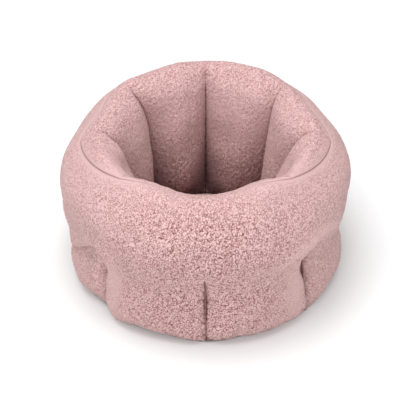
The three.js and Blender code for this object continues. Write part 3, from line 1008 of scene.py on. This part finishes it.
def vectors(tree, operation, *values):
    """One sum on vectors, each three numbers or a socket."""
    return add_node(tree, "VectorMath", dict(enumerate(values)), operation=operation).outputs[0]


def stepped(tree, value, low, high):
    """0 below low, 1 above high, and smooth between."""
    inputs = {"Value": value, "From Min": low, "From Max": high}
    return add_node(tree, "MapRange", inputs, interpolation_type="SMOOTHSTEP").outputs["Result"]


def warped_place(tree, scale, amount, upright=1.0):
    """The piece's own coordinates, pushed about by noise of a scale. upright below 1 draws what is
    laid on them out along Z."""
    centred = vectors(tree, "SUBTRACT", noise(tree, scale, 1.0, output="Color"), (0.5,) * 3)
    moved = vectors(tree, "MULTIPLY_ADD", centred, (amount,) * 3, own_place(tree))
    return vectors(tree, "MULTIPLY", moved, (1.0, 1.0, upright))


def bump(tree, shader, height, distance, strength=1.0):
    """Fine relief on the shader's normal, from a height, on top of any relief already there."""
    made = add_node(tree, "Bump", {"Strength": strength, "Distance": distance, "Height": height})
    earlier = shader.inputs["Normal"].links
    if earlier:
        tree.links.new(earlier[0].from_socket, made.inputs["Normal"])
    tree.links.new(made.outputs["Normal"], shader.inputs["Normal"])


def fleece_finish():
    """Dusty pink teddy fleece: nubs a few millimetres across, which are the cells of a pattern laid
    on warped coordinates, with dark gaps that break off here and there along their edges; the gaps
    are painted shade between the nubs. Where the cloth is calm the nubs fade and the colour is painted
    paler, a painted sheen, and where shade is painted, in its seams and down the well, it is darkest."""
    material, tree, shader = finish_named("fleece", 0.95, 0.2)
    pile, calm_and_painted_sheen, painted_shade = (add_node(tree, "Attribute", attribute_name=label).outputs["Fac"]
                         for label in ("pile", "calm_and_painted_sheen", "painted_shade"))
    cells = {"Vector": warped_place(tree, 170, 4 * MM, 0.7), "Scale": 285}
    nubs = add_node(tree, "TexVoronoi", cells, feature="DISTANCE_TO_EDGE")
    ridge = stepped(tree, nubs.outputs["Distance"], 0.0, 0.17)
    broken = stepped(tree, noise(tree, 230, 1), 0.28, 0.54)
    gaps = maths(tree, "MULTIPLY", maths(tree, "SUBTRACT", 1.0, ridge), broken)
    curl = maths(tree, "MULTIPLY", maths(tree, "SUBTRACT", 1.0, gaps), 0.8)
    height = maths(tree, "ADD", curl, maths(tree, "MULTIPLY", pile, 0.2))
    shown = {0: maths(tree, "MULTIPLY", calm_and_painted_sheen, 0.85), 2: height, 3: 0.72}
    height = add_node(tree, "Mix", shown, data_type="FLOAT").outputs[0]
    # The dark tones fall in the gaps between the nubs and in the pile's low places: painted shade in
    # the crevices, with bump relief on top.
    tones = [(0.1, "#6c3a39"), (0.5, "#ab7d7b"), (0.8, "#caa5a3"), (1.0, "#d5b6b4")]
    colour = ramp(tree, height, tones)
    cloud = ramp(tree, noise(tree, 14, 3), [(0.3, (0.94, 0.93, 0.93)), (0.7, 1.0)])
    colour = mixed(tree, 1.0, colour, cloud, "MULTIPLY")
    # Where the calm values are high the colour is painted paler: a painted sheen.
    colour = mixed(tree, maths(tree, "MULTIPLY", calm_and_painted_sheen, 0.45), colour, "#cbb1b1")
    fibres = ramp(tree, noise(tree, 620, 3, 0.6), [(0.3, (0.88, 0.87, 0.87)), (0.65, 1.0)])
    colour = mixed(tree, 0.7, colour, fibres, "MULTIPLY")
    # The shade values paint shade: the colour darkens towards a deep red.
    colour = mixed(tree, maths(tree, "MULTIPLY", painted_shade, 0.85), colour, "#5a2422")
    painted(tree, shader, colour)
    shader.inputs["Sheen Tint"].default_value = colour_of("#f0d8d5")
    rough = ramp(tree, noise(tree, 300, 2), [(0.3, 0.86), (0.7, 1.0)])
    tree.links.new(rough, shader.inputs["Roughness"])
    bump(tree, shader, height, 2 * MM, 0.6)
    bump(tree, shader, noise(tree, 700, 2, 0.6), 0.6 * MM, 0.5)
    return material


def thread_finish():
    """Spun thread, a darker pink than the fleece, with a fine twist."""
    material, tree, shader = finish_named("seam_thread", 0.7, 0.1)
    tone = ramp(tree, noise(tree, 240, 2), [(0.3, "#9a6d6a"), (0.7, "#bd8f8c")])
    painted(tree, shader, tone)
    bump(tree, shader, noise(tree, 1800, 1), 0.3 * MM, 0.6)
    return material


def fibre_finish():
    """White lofted fibre: soft clouds crossed by fine strands."""
    material, tree, shader = finish_named("fibre_fill", 0.9, 0.15)
    tone = ramp(tree, noise(tree, 35, 5, 0.65), [(0.3, "#d9d5cf"), (0.7, "#f6f4f0")])
    strands = ramp(tree, noise(tree, 420, 4, 0.7), [(0.35, 0.88), (0.6, 1.0)])
    painted(tree, shader, mixed(tree, 1.0, tone, strands, "MULTIPLY"))
    bump(tree, shader, noise(tree, 160, 5, 0.7), 2 * MM, 0.7)
    return material


def woven(tree, spacing):
    """The two sets of ribs of a plain weave, on the piece's own coordinates."""
    inputs = {"Vector": own_place(tree), "Scale": 0.314 / spacing, "Distortion": 0.4}
    return [add_node(tree, "TexWave", inputs, bands_direction=direction).outputs["Fac"]
            for direction in ("X", "Y")]


def grip_finish():
    """Grey base cloth in a plain weave, scuffed a little paler where it rubs."""
    material, tree, shader = finish_named("grip_cloth", 0.8, 0.05)
    weave = maths(tree, "ADD", *woven(tree, 1.2 * MM))
    tone = ramp(tree, weave, [(0.3, "#6f6765"), (0.9, "#978e8b")])
    scuffs = ramp(tree, noise(tree, 22, 4, 0.6), [(0.35, 0.9), (0.7, 1.08)])
    painted(tree, shader, mixed(tree, 1.0, tone, scuffs, "MULTIPLY"))
    bump(tree, shader, weave, 0.3 * MM, 0.6)
    return material


def rubber_finish():
    """Soft moulded dots, dark grey, with a dull and slightly dusty face."""
    material, tree, shader = finish_named("grip_dots", 0.6)
    tone = ramp(tree, noise(tree, 90, 3), [(0.3, "#4c4645"), (0.7, "#605958")])
    painted(tree, shader, tone)
    rough = ramp(tree, noise(tree, 260, 2), [(0.3, 0.5), (0.7, 0.75)])
    tree.links.new(rough, shader.inputs["Roughness"])
    bump(tree, shader, noise(tree, 700, 2), 0.15 * MM, 0.4)
    return material


def felt_finish():
    """Needled felt: off-white with stray grey fibres."""
    material, tree, shader = finish_named("felt_pad", 0.95, 0.1)
    tone = ramp(tree, noise(tree, 110, 4, 0.7), [(0.35, "#bdb8b1"), (0.65, "#e3dfd9")])
    painted(tree, shader, tone)
    bump(tree, shader, noise(tree, 380, 3, 0.7), 0.8 * MM, 0.7)
    return material


def satin_finish():
    """White satin tape with a close sheen along its threads, and no printing."""
    material, tree, shader = finish_named("satin_tape", 0.38, 0.2)
    shader.inputs["Anisotropic"].default_value = 0.5
    first, second = woven(tree, 0.6 * MM)
    tone = ramp(tree, first, [(0.2, "#e4e0dc"), (0.8, "#f7f5f2")])
    painted(tree, shader, tone)
    bump(tree, shader, second, 0.12 * MM, 0.4)
    return material


# ---- Camera, light and floor ----

def make_camera():
    """A long lens at the height of a standing person's view, aimed at the middle of the wall."""
    raised = np.radians(41.2)
    distance = 3.0
    back = Vector((0.0, -np.cos(raised), np.sin(raised)))
    up = Vector((0.0, np.sin(raised), np.cos(raised)))
    aim = Vector((0.0042, 0.0, 0.110)) - 0.0033 * up
    lens = bpy.data.cameras.new("camera")
    lens.sensor_width = 36.0
    lens.lens = 148.0
    camera = bpy.data.objects.new("camera", lens)
    camera.location = aim + distance * back
    camera.rotation_mode = "QUATERNION"
    camera.rotation_quaternion = (-back).to_track_quat("-Z", "Y")
    bpy.context.scene.collection.objects.link(camera)
    bpy.context.scene.camera = camera


def soft_light(name, place, target, size, power):
    """A square area light that faces a target."""
    data = bpy.data.lights.new(name, "AREA")
    data.size = size
    data.energy = power
    light = bpy.data.objects.new(name, data)
    light.location = place
    light.rotation_mode = "QUATERNION"
    light.rotation_quaternion = (Vector(target) - Vector(place)).to_track_quat("-Z", "Y")
    bpy.context.scene.collection.objects.link(light)


def studio():
    """A white floor and surroundings, a large light overhead and one at the left of the front."""
    world = bpy.data.worlds.new("studio")
    world.use_nodes = True
    world.node_tree.nodes["Background"].inputs["Color"].default_value = (1, 1, 1, 1)
    world.node_tree.nodes["Background"].inputs["Strength"].default_value = 0.72
    bpy.context.scene.world = world
    bpy.context.scene.view_settings.view_transform = "Standard"
    soft_light("overhead", (-0.3, -0.1, 2.5), (0, 0, 0.1), 1.8, 52)
    soft_light("key", (-0.2, -2.5, 1.15), (0, 0, 0.1), 1.6, 27)
    material, tree, shader = finish_named("floor", 0.9)
    tone = ramp(tree, noise(tree, 2), [(0.3, (0.775, 0.785, 0.785)), (0.7, (0.785, 0.795, 0.795))])
    painted(tree, shader, tone)
    bpy.ops.mesh.primitive_plane_add(size=30)
    floor = bpy.context.object
    floor.name = "floor"
    floor.data.materials.append(material)


make_camera()
studio()
fleece = fleece_finish()
thread = thread_finish()
fibre = fibre_finish()
grip_cloth = grip_finish()
outer_sleeve(fleece)
rim_seam(thread)
for number in range(CHAMBERS):
    lining_petal(number, fleece)
    wall_fill(number, fibre)
    chamber_seam(number, thread)
floor_lining(fleece)
base_cover(grip_cloth)
grip_dots(rubber_finish())
base_binding(grip_cloth)
base_pad(felt_finish())
care_label(satin_finish())
seat_cushion(fleece, thread, fibre)
